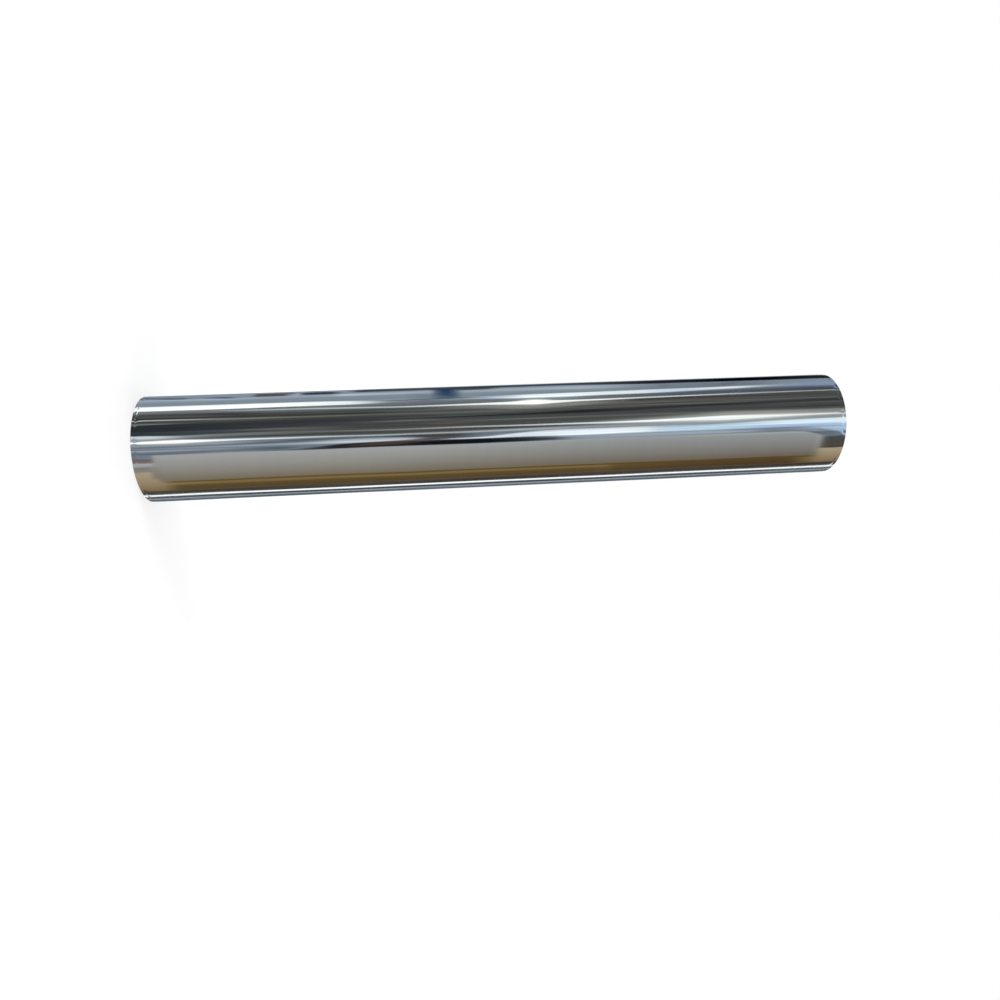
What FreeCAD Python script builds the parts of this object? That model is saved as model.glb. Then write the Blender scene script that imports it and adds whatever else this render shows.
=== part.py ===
"""Roll of heavy aluminium foil on its cardboard core, standing on one end.

The roll's axis is +Z and the foil's lower end rests on z = 0. Lengths are in millimetres.
The two pieces are the wound foil, one solid, and the paper tube that it is wound on.
"""
import FreeCAD, Part
import math
import os

import Sketcher

# Driving sizes: name, value and meaning
SIZES = [
    ("web_width", 600.0, "width of the foil, and so the length of every turn"),
    ("roll_diameter", 90.0, "outside of the last turn, at its free edge"),
    ("foil_thickness", 0.065, "one turn of foil"),
    ("core_bore", 50.8, "inside diameter of the paper tube"),
    ("core_wall", 4.6, "thickness of the paper tube"),
    ("core_setback", 1.0, "how far the tube ends inside the foil"),
    ("core_chamfer", 0.5, "broken edge at each mouth of the tube"),
    ("side_wander", 0.6, "how far the turns wander along the axis"),
    ("wander_bands", 14, "groups of turns that wander together"),
    ("last_band", 2.4, "radial width of the outermost group, which the roll stands on"),
    ("edge_band", 3.0, "width of the eased band at each rim"),
    ("edge_drop", 0.2, "how much the radius falls across the eased band"),
    ("rim_break", 0.25, "broken corner between the eased band and the end face"),
]

# Multiples of the golden section, less their whole part, are spread out and never repeat
GOLDEN_SECTION = 0.618
# Unevenness of the groups' widths, as a share of an even width
BAND_UNEVENNESS = 0.6

document = FreeCAD.newDocument("foil_roll")


def fill_sheet():
    """Writes the driving sizes as cells that the models refer to by name."""
    sheet = document.addObject("Spreadsheet::Sheet", "sizes")
    sheet.Label = "sizes"
    for row, (name, value, meaning) in enumerate(SIZES, start=1):
        sheet.set("A%d" % row, name)
        sheet.set("B%d" % row, str(value))
        sheet.set("C%d" % row, meaning)
        sheet.setAlias("B%d" % row, name)
    document.recompute()
    return sheet


sheet = fill_sheet()


def cell(name):
    """The expression for one driving size."""
    return "<<sizes>>." + name


ROLL_RADIUS = cell("roll_diameter") + " / 2"
CORE_RADIUS = "(%s / 2 + %s)" % (cell("core_bore"), cell("core_wall"))


def new_body(name):
    body = document.addObject("PartDesign::Body", name)
    body.Label = name
    return body


def new_sketch(body, name, plane_role):
    """An empty sketch on one of the body's own origin planes."""
    plane = next(f for f in body.Origin.OriginFeatures if f.Role == plane_role)
    sketch = body.newObject("Sketcher::SketchObject", name)
    sketch.AttachmentSupport = [(plane, "")]
    sketch.MapMode = "FlatFace"
    return sketch


def drive(sketch, constraint, name, expression):
    """Adds one dimension to a sketch and ties it to the driving sizes."""
    index = sketch.addConstraint(constraint)
    sketch.renameConstraint(index, name)
    sketch.setExpression("Constraints." + name, expression)


def draw_outline(sketch, corners):
    """Draws a closed outline whose corners are pairs of expressions.

    A line whose two ends share an expression is held horizontal or vertical, and each
    coordinate is dimensioned from the origin where it first appears.
    """
    points = [[float(sheet.evalExpression(e)) for e in corner] for corner in corners]
    count = len(corners)
    for i in range(count):
        start = FreeCAD.Vector(*points[i], 0)
        end = FreeCAD.Vector(*points[(i + 1) % count], 0)
        sketch.addGeometry(Part.LineSegment(start, end), False)
    for i in range(count):
        after = (i + 1) % count
        sketch.addConstraint(Sketcher.Constraint("Coincident", i, 2, after, 1))
        if corners[i][0] == corners[after][0]:
            sketch.addConstraint(Sketcher.Constraint("Vertical", i))
        if corners[i][1] == corners[after][1]:
            sketch.addConstraint(Sketcher.Constraint("Horizontal", i))
    for i in range(count):
        if corners[i][0] != corners[i - 1][0]:
            across = Sketcher.Constraint("DistanceX", -1, 1, i, 1, points[i][0])
            drive(sketch, across, "radius_%d" % i, corners[i][0])
        if corners[i][1] == corners[i - 1][1]:
            continue
        if corners[i][1] == "0":
            sketch.addConstraint(Sketcher.Constraint("PointOnObject", i, 1, -1))
        else:
            up = Sketcher.Constraint("DistanceY", -1, 1, i, 1, points[i][1])
            drive(sketch, up, "height_%d" % i, corners[i][1])


def revolve(body, sketch, name):
    """Turns a half section right round the Z axis."""
    turned = body.newObject("PartDesign::Revolution", name)
    turned.Profile = sketch
    turned.ReferenceAxis = (sketch, ["V_Axis"])
    turned.Angle = 360
    return turned


def band_edges(bands):
    """Expressions for the radii between the groups of turns, from the core outwards."""
    outer = "%s - %s" % (ROLL_RADIUS, cell("last_band"))
    edges = [CORE_RADIUS]
    for k in range(1, bands):
        uneven = BAND_UNEVENNESS * ((k * GOLDEN_SECTION) % 1 - 0.5) if k < bands - 1 else 0
        share = (k + uneven) / (bands - 1)
        edges.append("%s + (%s - %s) * %.4f" % (CORE_RADIUS, outer, CORE_RADIUS, share))
    return edges


def band_offsets(bands):
    """Expressions for how far each group of turns lies above the outermost one."""
    shares = [(k * GOLDEN_SECTION) % 1 for k in range(1, bands)]
    largest = max(shares)
    return ["%s * %.4f" % (cell("side_wander"), share / largest) for share in shares] + ["0"]


def foil_half_section():
    """Corners of the wound foil's half section: lower end, rim, side, rim, upper end."""
    bands = int(sheet.get("wander_bands"))
    edges = band_edges(bands)
    offsets = band_offsets(bands)
    eased = "%s - %s" % (ROLL_RADIUS, cell("edge_drop"))
    corner = "%s - %s" % (eased, cell("rim_break"))
    outside = "%s + %s" % (ROLL_RADIUS, cell("foil_thickness"))
    top = cell("web_width")

    # The eased band is one straight slope that reaches the full radius at edge_band
    run = "(%s - %s)" % (cell("edge_band"), cell("rim_break"))
    slope_end = "(%s + %s * %s / %s)" % (cell("edge_band"), cell("foil_thickness"), run, cell("edge_drop"))

    lower = []
    upper = []
    for k in range(bands):
        height = offsets[k]
        ceiling = top if height == "0" else "%s + %s" % (top, height)
        far_edge = edges[k + 1] if k + 1 < bands else corner
        lower += [(edges[k], height), (far_edge, height)]
        upper += [(edges[k], ceiling), (far_edge, ceiling)]
    rim = [
        (eased, cell("rim_break")),
        (outside, slope_end),
        (outside, "%s - %s" % (top, slope_end)),
        (eased, "%s - %s" % (top, cell("rim_break"))),
    ]
    return lower + rim + upper[::-1]


def draw_last_turn(sketch):
    """Draws the ring that is left outside the last turn, to be cut away.

    Its inner edge winds outwards by one foil in a whole turn: a half circle about the axis,
    then a half circle half a foil larger whose centre has moved by as much, which meet
    smoothly in front. The free edge of the foil is the short step behind, on the +Y side.
    """
    inner_radius = "%s - %s" % (ROLL_RADIUS, cell("foil_thickness"))
    shift = cell("foil_thickness") + " / 2"
    clear_radius = "%s + %s" % (ROLL_RADIUS, cell("last_band"))
    radius = float(sheet.evalExpression(inner_radius))
    half_foil = float(sheet.evalExpression(shift))
    clear = float(sheet.evalExpression(clear_radius))

    axis = FreeCAD.Vector(0, 0, 0)
    moved = FreeCAD.Vector(0, half_foil, 0)
    normal = FreeCAD.Vector(0, 0, 1)
    behind, front, behind_again = (math.radians(angle) for angle in (90, 270, 450))
    smaller = Part.Circle(axis, normal, radius)
    larger = Part.Circle(moved, normal, radius + half_foil)
    first = sketch.addGeometry(Part.ArcOfCircle(smaller, behind, front), False)
    second = sketch.addGeometry(Part.ArcOfCircle(larger, front, behind_again), False)
    low = FreeCAD.Vector(0, radius, 0)
    high = FreeCAD.Vector(0, radius + 2 * half_foil, 0)
    step = sketch.addGeometry(Part.LineSegment(high, low), False)
    clearing = sketch.addGeometry(Part.Circle(axis, normal, clear), False)

    sketch.addConstraint([
        Sketcher.Constraint("Coincident", first, 3, -1, 1),
        Sketcher.Constraint("Coincident", clearing, 3, -1, 1),
        Sketcher.Constraint("PointOnObject", second, 3, -2),
        Sketcher.Constraint("PointOnObject", first, 1, -2),
        Sketcher.Constraint("PointOnObject", first, 2, -2),
        Sketcher.Constraint("PointOnObject", second, 2, -2),
        Sketcher.Constraint("Coincident", first, 2, second, 1),
        Sketcher.Constraint("Coincident", second, 2, step, 1),
        Sketcher.Constraint("Coincident", step, 2, first, 1),
    ])
    drive(sketch, Sketcher.Constraint("Radius", first, radius), "turn_radius", inner_radius)
    centre_shift = Sketcher.Constraint("DistanceY", -1, 1, second, 3, half_foil)
    drive(sketch, centre_shift, "centre_shift", shift)
    drive(sketch, Sketcher.Constraint("Radius", clearing, clear), "clear_radius", clear_radius)


def make_foil_roll():
    """All the turns of foil as one solid, ending in the last turn's free edge."""
    body = new_body("foil_roll")
    section = new_sketch(body, "foil_section", "XZ_Plane")
    draw_outline(section, foil_half_section())
    turned = revolve(body, section, "wound_turns")
    document.recompute()
    whole = turned.Shape.Volume

    last_turn = new_sketch(body, "last_turn", "XY_Plane")
    draw_last_turn(last_turn)
    trim = body.newObject("PartDesign::Pocket", "last_turn_trim")
    trim.Profile = last_turn
    trim.Type = "ThroughAll"
    trim.Reversed = True
    document.recompute()
    if trim.Shape.Volume >= whole:
        raise ValueError("the trim outside the last turn cut nothing")
    return body


def make_core_tube():
    """The paper tube, a little shorter than the foil and with both mouths eased."""
    body = new_body("core_tube")
    section = new_sketch(body, "core_section", "XZ_Plane")
    bore = cell("core_bore") + " / 2"
    mouth = "%s + %s" % (bore, cell("core_chamfer"))
    low = cell("core_setback")
    low_bore = "%s + %s" % (low, cell("core_chamfer"))
    high = "%s - %s" % (cell("web_width"), low)
    high_bore = "%s - %s" % (high, cell("core_chamfer"))
    draw_outline(section, [
        (mouth, low),
        (CORE_RADIUS, low),
        (CORE_RADIUS, high),
        (mouth, high),
        (bore, high_bore),
        (bore, low_bore),
    ])
    revolve(body, section, "wound_tube")
    return body


def check_document():
    """Stops the build on any object that failed to compute."""
    for item in document.Objects:
        if "Invalid" in item.State or "Error" in item.State:
            raise ValueError("%s failed: %s" % (item.Label, item.State))


def export(bodies):
    """Writes each piece to a file of its own name."""
    for body in bodies:
        if body.Shape.isNull() or not body.Shape.isValid() or len(body.Shape.Solids) != 1:
            raise ValueError("%s isn't one valid solid" % body.Label)
    os.makedirs("parts", exist_ok=True)
    for body in bodies:
        body.Shape.exportStep("parts/%s.step" % body.Label)
        print(body.Label, "volume %.0f cubic mm" % body.Shape.Volume)


pieces = [make_foil_roll(), make_core_tube()]
for piece in pieces:
    piece.Placement = FreeCAD.Placement(FreeCAD.Vector(0, 0, 0), FreeCAD.Rotation())
document.recompute()
check_document()
export(pieces)
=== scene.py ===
"""Looks of a full roll of bright aluminium foil that stands on one end.

The roll's axis is +Z, and the camera stands on its -Y side, turned so that +Z runs to the
picture's right. Azimuths are in degrees from -Y, positive towards +X. Lengths are in metres.
"""

import math

import bpy
import numpy as np
from mathutils import Matrix, Vector


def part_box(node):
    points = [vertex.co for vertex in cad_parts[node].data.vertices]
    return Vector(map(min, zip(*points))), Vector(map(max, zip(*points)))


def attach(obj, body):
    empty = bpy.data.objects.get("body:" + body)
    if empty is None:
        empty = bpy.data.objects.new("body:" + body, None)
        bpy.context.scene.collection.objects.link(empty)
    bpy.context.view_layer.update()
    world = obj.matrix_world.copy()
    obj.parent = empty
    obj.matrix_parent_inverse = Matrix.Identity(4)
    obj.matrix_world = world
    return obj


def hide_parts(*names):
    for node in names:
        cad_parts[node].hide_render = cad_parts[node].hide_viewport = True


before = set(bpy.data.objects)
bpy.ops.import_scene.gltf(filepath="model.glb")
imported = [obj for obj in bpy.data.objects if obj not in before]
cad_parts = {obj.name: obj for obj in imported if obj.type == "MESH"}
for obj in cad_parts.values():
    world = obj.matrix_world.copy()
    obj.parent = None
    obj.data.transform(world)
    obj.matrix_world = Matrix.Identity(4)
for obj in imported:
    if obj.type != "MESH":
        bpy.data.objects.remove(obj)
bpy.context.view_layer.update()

MM = 0.001

# Camera, as fitted to the photograph
CAMERA_PLACE = Vector((0.0, -0.6802, 0.2318))
CAMERA_AIM = Vector((0.0574, 0.0, 0.2981))
CAMERA_ROLL = math.radians(2.71)
CAMERA_LENS = 27.49
SENSOR_WIDTH = 36.0

# The foil, from the frame and the source's own sizes
FOIL_LOW, FOIL_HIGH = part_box("foil_roll")
ROLL_RADIUS = FOIL_HIGH.y
ROLL_LENGTH = FOIL_HIGH.z - FOIL_LOW.z
CORE_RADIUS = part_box("core_tube")[1].x
FOIL_THICKNESS = 0.065 * MM
SIDE_WANDER = 0.6 * MM
WEB_WIDTH = ROLL_LENGTH - SIDE_WANDER
WANDER_BANDS = 14
LAST_BAND = 2.4 * MM
EDGE_BAND = 3.0 * MM
EDGE_DROP = 0.2 * MM
EDGE_STEP_SHARE = 0.4
EDGE_STEP_HALF = 0.15 * MM
RIM_BREAK = 0.25 * MM
GOLDEN_SECTION = 0.618
BAND_UNEVENNESS = 0.6

# What is finer than the source: a step in the middle of each group of turns, and the outer face's edge
HALF_BAND_STEP = 0.07 * MM
FACE_INSET = 0.1 * MM

# Core board: pitch of the spiral that its plies are wound in, gap between two turns of a ply, and
# a ply's thickness
PLY_PITCH = 120 * MM
PLY_GAP = 1.0 * MM
PLY_THICKNESS = 0.6 * MM

# Mesh density: columns round the roll, rows along its side and rows near each rim
FOIL_COLUMNS = 384
SIDE_ROWS = 96
RIM_ROW_SHARES = (0, 0.2, 0.4, 0.6, 0.8, 1)
ROWS_PAST_EDGE = (EDGE_STEP_HALF, 0.8 * MM, 2.5 * MM, 5 * MM)
SHARP_ANGLE = math.radians(35)

# Soft waves that the tension leaves in the foil: waves round the roll, and their steepness. They
# drift and swell along the roll, and only a share of them reaches the rims
RIPPLES = [(5, 0.006), (9, 0.006), (16, 0.005), (27, 0.0045), (44, 0.004), (71, 0.003)]
RIPPLE_LENGTHS = (0.35, 0.21)
RIPPLE_SWING = 0.9
RIPPLE_SWELL = 0.4
RIPPLE_AT_RIM = 0.3

# Crinkles where the turns' edges are rolled down: waves round the roll, their steepness and their reach
CRINKLES = [(31, 0.030), (47, 0.035), (66, 0.040), (89, 0.040)]
CRINKLE_REACH = 0.9 * MM

# Dents in the rims: azimuth, height above the rim's own end, depth and size
DENTS = [
    ("low", -77, 1.8 * MM, 0.35 * MM, 1.9 * MM),
    ("low", -70, 2.6 * MM, 0.15 * MM, 1.4 * MM),
    ("high", -46, 1.6 * MM, 0.25 * MM, 1.5 * MM),
    ("high", 12, 1.2 * MM, 0.30 * MM, 1.3 * MM),
    ("high", 156, 1.5 * MM, 0.20 * MM, 1.6 * MM),
]

random = np.random.default_rng(65)


def linear(r, g, b):
    """A colour as it shows on a screen, 0 to 255, as linear light."""
    share = np.array((r, g, b), float) / 255
    return np.where(share <= 0.04045, share / 12.92, ((share + 0.055) / 1.055) ** 2.4)


def smooth_step(low, high, value):
    share = np.clip((value - low) / (high - low), 0, 1)
    return share * share * (3 - 2 * share)


def make_camera():
    data = bpy.data.cameras.new("camera")
    data.lens = CAMERA_LENS
    data.sensor_width = SENSOR_WIDTH
    camera = bpy.data.objects.new("camera", data)
    bpy.context.scene.collection.objects.link(camera)
    forward = (CAMERA_AIM - CAMERA_PLACE).normalized()
    axis = Vector((0, 0, 1))
    right = (axis - forward * axis.dot(forward)).normalized()
    right = Matrix.Rotation(CAMERA_ROLL, 3, forward) @ right
    up = right.cross(forward)
    turn = Matrix((right, up, -forward)).transposed().to_4x4()
    camera.matrix_world = Matrix.Translation(CAMERA_PLACE) @ turn
    bpy.context.scene.camera = camera


class Nodes:
    """A short way to write a material's nodes and the links between them."""

    def __init__(self, name, shader="ShaderNodeBsdfPrincipled", owner=None):
        self.owner = owner or bpy.data.materials.new(name)
        self.owner.use_nodes = True
        self.tree = self.owner.node_tree
        self.tree.nodes.clear()
        world = isinstance(self.owner, bpy.types.World)
        self.output = self.add("ShaderNodeOutputWorld" if world else "ShaderNodeOutputMaterial")
        self.shader = self.add(shader)
        self.link(self.shader.outputs[0], self.output.inputs["Surface"])

    def add(self, kind, **settings):
        node = self.tree.nodes.new(kind)
        for key, value in settings.items():
            if hasattr(node, key):
                setattr(node, key, value)
            else:
                node.inputs[key.replace("_", " ").title()].default_value = value
        return node

    def link(self, source, target):
        self.tree.links.new(source, target)

    def set(self, **values):
        """Sets the shader's sockets to numbers, or links them."""
        for key, value in values.items():
            socket = self.shader.inputs[key.replace("_", " ")]
            if isinstance(value, bpy.types.NodeSocket):
                self.link(value, socket)
            else:
                socket.default_value = value

    def math(self, operation, *values):
        node = self.add("ShaderNodeMath", operation=operation)
        for socket, value in zip(node.inputs, values):
            if isinstance(value, bpy.types.NodeSocket):
                self.link(value, socket)
            else:
                socket.default_value = value
        return node.outputs[0]

    def total(self, *terms):
        """The sum of values, each times its weight."""
        result = 0.0
        for value, weight in terms:
            result = self.math("ADD", self.math("MULTIPLY", value, weight), result)
        return result

    def vector(self, *parts):
        node = self.add("ShaderNodeCombineXYZ")
        for socket, value in zip(node.inputs, parts):
            if isinstance(value, bpy.types.NodeSocket):
                self.link(value, socket)
            else:
                socket.default_value = value
        return node.outputs[0]

    def noise(self, place, scale, detail=2.0, roughness=0.5):
        node = self.add("ShaderNodeTexNoise")
        node.inputs["Scale"].default_value = scale
        node.inputs["Detail"].default_value = detail
        node.inputs["Roughness"].default_value = roughness
        self.link(place, node.inputs["Vector"])
        return node.outputs["Fac"]

    def ramp(self, value, *stops):
        node = self.add("ShaderNodeValToRGB")
        elements = node.color_ramp.elements
        while len(elements) < len(stops):
            elements.new(0.5)
        for element, (place, colour) in zip(elements, stops):
            element.position = place
            element.color = (*colour, 1.0)
        self.link(value, node.inputs["Fac"])
        return node.outputs["Color"]

    def range(self, value, low, high, to_low, to_high):
        node = self.add("ShaderNodeMapRange")
        self.link(value, node.inputs["Value"])
        limits = {"From Min": low, "From Max": high, "To Min": to_low, "To Max": to_high}
        for name, number in limits.items():
            node.inputs[name].default_value = number
        return node.outputs["Result"]

    def bump(self, height, distance, strength=1.0):
        node = self.add("ShaderNodeBump")
        node.inputs["Strength"].default_value = strength
        node.inputs["Distance"].default_value = distance
        self.link(height, node.inputs["Height"])
        return node.outputs["Normal"]

    def polar(self):
        """Radius, azimuth and height of the shaded point in the roll's own frame."""
        place = self.add("ShaderNodeTexCoord").outputs["Object"]
        split = self.add("ShaderNodeSeparateXYZ")
        self.link(place, split.inputs[0])
        x, y, z = split.outputs
        squares = self.math("ADD", self.math("MULTIPLY", x, x), self.math("MULTIPLY", y, y))
        radius = self.math("SQRT", squares)
        azimuth = self.math("ARCTAN2", x, self.math("MULTIPLY", y, -1.0))
        return radius, azimuth, z


def bright_foil():
    """The web's bright side: a mirror whose rolling lines run round the roll."""
    nodes = Nodes("bright_foil")
    _, azimuth, z = nodes.polar()
    # Rolling lines blur what the foil mirrors along the axis only, more in some lanes than others
    lanes = nodes.noise(nodes.vector(0.0, 0.0, z), scale=90.0, detail=4.0)
    over_side = nodes.vector(azimuth, 0.0, nodes.math("MULTIPLY", z, 9.0))
    patches = nodes.noise(over_side, scale=1.6, detail=3.0)
    mixed = nodes.math("ADD", nodes.math("MULTIPLY", lanes, 0.5), nodes.math("MULTIPLY", patches, 0.5))
    roughness = nodes.range(mixed, low=0.35, high=0.65, to_low=0.07, to_high=0.14)
    shade = nodes.ramp(mixed, (0.30, (0.87, 0.885, 0.90)), (0.70, (0.93, 0.935, 0.94)))
    tangent = nodes.add("ShaderNodeTangent", direction_type="RADIAL", axis="Z").outputs[0]
    nodes.set(Base_Color=shade, Metallic=1.0, Roughness=roughness, Anisotropic=0.9,
              Anisotropic_Rotation=0.25, Tangent=tangent)
    return nodes.owner


def cut_edges():
    """The slit edges of the turns, seen end on as fine silver rings, with painted shade in their darker
    lines between the edges and short painted glints.
    """
    nodes = Nodes("cut_edges")
    radius, azimuth, _ = nodes.polar()
    wander = nodes.noise(nodes.vector(azimuth, 0.0, 0.0), scale=0.8, detail=2.0)
    wander = nodes.math("MULTIPLY", wander, 0.25 * MM)
    across = nodes.vector(nodes.math("ADD", radius, wander), 0.0, 0.0)
    # Short arcs round the bore that brighten the colour: painted glints
    along = nodes.vector(nodes.math("MULTIPLY", azimuth, 4.0), nodes.math("MULTIPLY", radius, 900.0), 0.0)
    # Rings of random tone, whose darker lines are painted shade between the edges, plus the painted glints
    rings = nodes.total((nodes.noise(across, scale=5200.0, detail=2.0), 0.24),
                        (nodes.noise(across, scale=1900.0, detail=2.0), 0.24),
                        (nodes.noise(across, scale=480.0, detail=3.0), 0.32),
                        (nodes.noise(along, scale=3.0, detail=2.0), 0.20))
    shade = nodes.ramp(rings, (0.36, (0.30, 0.31, 0.33)), (0.50, (0.62, 0.63, 0.65)),
                       (0.64, (0.86, 0.87, 0.89)))
    roughness = nodes.range(rings, low=0.36, high=0.64, to_low=0.42, to_high=0.24)
    relief = nodes.bump(rings, distance=0.16 * MM, strength=0.7)
    tangent = nodes.add("ShaderNodeTangent", direction_type="RADIAL", axis="Z").outputs[0]
    nodes.set(Base_Color=shade, Metallic=1.0, Roughness=roughness, Anisotropic=0.7,
              Anisotropic_Rotation=0.25, Tangent=tangent, Normal=relief)
    return nodes.owner


def kraft_board():
    """Brown core board: fibres and a spiral seam along it, the edges of its plies at its ends."""
    nodes = Nodes("kraft_board")
    radius, azimuth, z = nodes.polar()
    place = nodes.add("ShaderNodeTexCoord").outputs["Object"]
    mottle = nodes.noise(place, scale=60.0, detail=5.0, roughness=0.6)
    fleck = nodes.noise(place, scale=900.0, detail=3.0, roughness=0.7)

    # Along the tube: fibres that run lengthwise, and the gap between two turns of the outer ply
    lengthwise = nodes.vector(nodes.math("MULTIPLY", azimuth, 90.0), 0.0, nodes.math("MULTIPLY", z, 600.0))
    fibres = nodes.noise(lengthwise, scale=1.0, detail=4.0)
    turn = nodes.math("MULTIPLY", azimuth, 0.5 / math.pi)
    turns = nodes.math("ADD", turn, nodes.math("DIVIDE", z, PLY_PITCH))
    from_gap = nodes.math("MULTIPLY", nodes.math("PINGPONG", turns, 0.5), PLY_PITCH)
    gap = nodes.range(from_gap, low=PLY_GAP / 2, high=PLY_GAP, to_low=-0.30, to_high=0.0)
    side = nodes.total((mottle, 0.45), (fleck, 0.25), (fibres, 0.30), (gap, 1.0))

    # On the cut ends: fibres that run round the bore, and a glue line between each ply and the next
    around = nodes.math("MULTIPLY", azimuth, 24.0)
    round_bore = nodes.vector(around, nodes.math("MULTIPLY", radius, 9000.0), 0.0)
    end_fibres = nodes.noise(round_bore, scale=1.0, detail=3.0)
    wander = nodes.noise(nodes.vector(azimuth, 0.0, 0.0), scale=2.0, detail=3.0)
    wander = nodes.math("MULTIPLY", wander, PLY_THICKNESS / 2)
    from_glue = nodes.math("PINGPONG", nodes.math("ADD", radius, wander), PLY_THICKNESS / 2)
    glue = nodes.range(from_glue, low=0.0, high=PLY_THICKNESS / 4, to_low=-0.22, to_high=0.05)
    end = nodes.total((mottle, 0.30), (fleck, 0.30), (end_fibres, 0.40), (glue, 1.0))

    normal = nodes.add("ShaderNodeSeparateXYZ")
    nodes.link(nodes.add("ShaderNodeNewGeometry").outputs["True Normal"], normal.inputs[0])
    on_end = nodes.math("GREATER_THAN", nodes.math("ABSOLUTE", normal.outputs["Z"]), 0.6)
    mixed = nodes.math("ADD", side, nodes.math("MULTIPLY", nodes.math("SUBTRACT", end, side), on_end))
    shade = nodes.ramp(mixed, (0.34, (0.17, 0.105, 0.060)), (0.50, (0.30, 0.195, 0.115)),
                       (0.66, (0.42, 0.29, 0.18)))
    relief = nodes.bump(mixed, distance=0.4 * MM, strength=0.5)
    nodes.set(Base_Color=shade, Roughness=0.86, Specular_IOR_Level=0.3, Normal=relief)
    return nodes.owner


def band_edges():
    """Radii between the groups of turns that wander together, from the core outwards."""
    outer = ROLL_RADIUS - LAST_BAND
    edges = [CORE_RADIUS]
    for k in range(1, WANDER_BANDS):
        uneven = BAND_UNEVENNESS * ((k * GOLDEN_SECTION) % 1 - 0.5) if k < WANDER_BANDS - 1 else 0
        edges.append(CORE_RADIUS + (outer - CORE_RADIUS) * (k + uneven) / (WANDER_BANDS - 1))
    return edges


def band_offsets():
    """How far each group lies above the outermost one, along the axis."""
    shares = [(k * GOLDEN_SECTION) % 1 for k in range(1, WANDER_BANDS)]
    return [SIDE_WANDER * share / max(shares) for share in shares] + [0.0]


def last_turn_radius(azimuth):
    """The outside: it grows by one foil over the half turn that ends at the free edge, at +Y."""
    inner = ROLL_RADIUS - FOIL_THICKNESS
    growing = azimuth > 0
    return inner + np.where(growing, FOIL_THICKNESS * (1 - np.cos(azimuth)) / 2, 0.0)


def side_rows():
    """Heights of the side's rows, close together near each rim."""
    slope = EDGE_BAND - EDGE_STEP_HALF - RIM_BREAK
    rim = [RIM_BREAK + slope * share for share in RIM_ROW_SHARES]
    beyond = [EDGE_BAND + reach for reach in ROWS_PAST_EDGE]
    low = rim + beyond
    middle = np.linspace(beyond[-1], WEB_WIDTH - beyond[-1], SIDE_ROWS)[1:-1]
    return np.array(low + list(middle) + [WEB_WIDTH - height for height in low[::-1]])


def ripple(azimuth, height):
    """Radial depth of the soft waves in the outer turns."""
    depth = np.zeros(np.broadcast(azimuth, height).shape)
    for waves, steepness in RIPPLES:
        phase, *swings = random.uniform(0, 2 * math.pi, 1 + len(RIPPLE_LENGTHS))
        drift = phase + 0 * height
        for length, swing in zip(RIPPLE_LENGTHS, swings):
            drift = drift + RIPPLE_SWING * np.sin(2 * math.pi * height / length + swing)
        wave = np.sin(2 * math.pi * height / RIPPLE_LENGTHS[1] + phase)
        swell = 1 - RIPPLE_SWELL + RIPPLE_SWELL * wave
        depth += steepness * swell * ROLL_RADIUS / waves * np.sin(waves * azimuth + drift)
    return depth


def eased_edge(height):
    """How much the radius falls near the rims: a slope and a small step where it starts."""
    from_end = np.minimum(height, WEB_WIDTH - height)
    slope = EDGE_DROP * (1 - EDGE_STEP_SHARE) * np.clip(1 - from_end / EDGE_BAND, 0, 1)
    falls = smooth_step(EDGE_BAND + EDGE_STEP_HALF, EDGE_BAND - EDGE_STEP_HALF, from_end)
    return slope + EDGE_DROP * EDGE_STEP_SHARE * falls


def crinkle(azimuth, height):
    """Small waves on the line where the rims fall off, which fade along the roll."""
    from_end = np.minimum(height, WEB_WIDTH - height)
    depth = np.zeros(np.broadcast(azimuth, height).shape)
    for waves, steepness in CRINKLES:
        for end in (height < WEB_WIDTH / 2, height > WEB_WIDTH / 2):
            phase = random.uniform(0, 2 * math.pi)
            depth += steepness * ROLL_RADIUS / waves * (1 + np.sin(waves * azimuth + phase)) * end
    return depth * np.exp(-((from_end - EDGE_BAND) / CRINKLE_REACH) ** 2)


def dents(azimuth, height):
    depth = np.zeros(np.broadcast(azimuth, height).shape)
    for end, centre, from_end, deep, size in DENTS:
        level = from_end if end == "low" else WEB_WIDTH - from_end
        around = (np.degrees(azimuth) - centre + 180) % 360 - 180
        reach = np.hypot(np.radians(around) * ROLL_RADIUS, height - level) / size
        depth += deep * np.exp(-reach ** 2)
    return depth


def lathe_mesh(name, loops, columns, closed):
    """A mesh from loops of points round the axis, each given as an array of columns by xyz."""
    points = np.concatenate(loops)
    faces = []
    count = len(loops)
    for row in range(count if closed else count - 1):
        low = row * columns
        high = (row + 1) % count * columns
        for column in range(columns):
            after = (column + 1) % columns
            faces.append((low + column, low + after, high + after, high + column))
    mesh = bpy.data.meshes.new(name)
    mesh.from_pydata(points.tolist(), [], faces)
    mesh.polygons.foreach_set("use_smooth", [True] * len(faces))
    mesh.update()
    piece = bpy.data.objects.new(name, mesh)
    bpy.context.scene.collection.objects.link(piece)
    return piece


def loop(radius, azimuth, height):
    """One loop of points: radius and height may differ from column to column."""
    radius = np.broadcast_to(radius, azimuth.shape)
    height = np.broadcast_to(height, azimuth.shape)
    return np.stack([radius * np.sin(azimuth), -radius * np.cos(azimuth), height], 1)


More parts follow.
